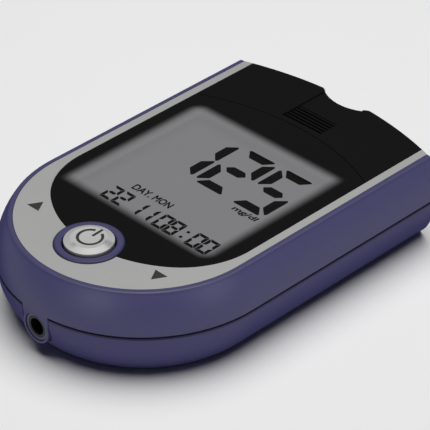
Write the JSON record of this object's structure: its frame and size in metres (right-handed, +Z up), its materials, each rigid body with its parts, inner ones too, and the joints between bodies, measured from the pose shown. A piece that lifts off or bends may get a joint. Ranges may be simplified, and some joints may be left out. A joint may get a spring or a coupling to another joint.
{
  "type": "blood glucose meter",
  "caption": "Pocket blood glucose meter: rounded two-shell case with display window, power button, two arrow keys, removable strip port cover, battery door and a data jack in the nose.",
  "frame": {"origin": "middle of the base, on the surface that the meter stands on", "axes": "+Z up through the display, +Y towards the strip end, X across"},
  "size_m": [0.058, 0.0868, 0.0204],
  "materials": {
    "blue_shell": "satin blue-violet moulded plastic",
    "blue_base": "satin blue-violet moulded plastic, a little darker",
    "silver_trim": "silver paint with a fine grain",
    "clear_lens": "clear polished plastic",
    "black_print": "black print behind the lens",
    "black_cover": "satin black moulded plastic",
    "button_silver": "satin silver paint",
    "dark_plastic": "dark moulded plastic",
    "stem_plastic": "ivory plastic",
    "gasket_foam": "grey foam",
    "display_face": "grey display film",
    "display_glass": "thin display glass",
    "reflector_film": "matt silver film",
    "white_plastic": "white moulded plastic",
    "zebra_rubber": "layered silicone rubber",
    "board_green": "green solder mask on glass fibre",
    "chip_black": "moulded chip body",
    "tinned_metal": "tinned metal",
    "capacitor_tan": "ceramic",
    "contact_gold": "gold-plated spring metal",
    "jack_black": "black moulded plastic",
    "cell_steel": "nickel-plated steel",
    "contact_steel": "nickel-plated spring steel",
    "screw_steel": "zinc-plated steel"
  },
  "bodies": {
    "case": {"top_shell": "blue_shell", "bottom_shell": "blue_base", "trim_panel": "silver_trim", "display_lens": "clear_lens", "lens_mask": "black_print", "tact_switches": "dark_plastic", "display_gasket": "gasket_foam", "front_polariser": "display_face", "front_glass": "display_glass", "rear_glass": "display_glass", "reflector": "reflector_film", "display_frame": "white_plastic", "zebra_strip": "zebra_rubber", "main_board": "board_green", "main_chip": "chip_black", "analog_chip": "chip_black", "crystal_can": "tinned_metal", "chip_capacitors": "capacitor_tan", "buzzer": "dark_plastic", "strip_connector": "white_plastic", "strip_contacts": "contact_gold", "data_jack": "jack_black", "jack_contacts": "tinned_metal", "coin_cells": "cell_steel", "battery_springs": "contact_steel", "battery_clips": "contact_steel", "case_screws": "screw_steel"},
    "power_button": {"power_button": "button_silver", "power_switch_stem": "stem_plastic"},
    "up_key": {"up_key": "dark_plastic", "up_switch_stem": "stem_plastic"},
    "down_key": {"down_key": "dark_plastic", "down_switch_stem": "stem_plastic"},
    "port_cover": {"port_cover": "black_cover"},
    "battery_door": {"battery_door": "blue_base"}
  },
  "joints": [
    {"name": "power_button_press", "type": "slide", "parent": "case", "child": "power_button", "axis": [0, 0, -1], "range_m": [0, 0.0003], "stiffness_N_per_m": 2500},
    {"name": "up_key_press", "type": "slide", "parent": "case", "child": "up_key", "axis": [0, 0, -1], "range_m": [0, 0.0003], "stiffness_N_per_m": 2500},
    {"name": "down_key_press", "type": "slide", "parent": "case", "child": "down_key", "axis": [0, 0, -1], "range_m": [0, 0.0003], "stiffness_N_per_m": 2500},
    {"name": "port_cover_slide", "type": "slide", "parent": "case", "child": "port_cover", "axis": [0, 1, 0], "range_m": [0, 0.022]},
    {"name": "battery_door_tilt", "type": "hinge", "parent": "case", "child": "battery_door", "pos_m": [0, 0.0228, 0.00025], "axis": [1, 0, 0], "range_deg": [0, 70]}
  ]
}
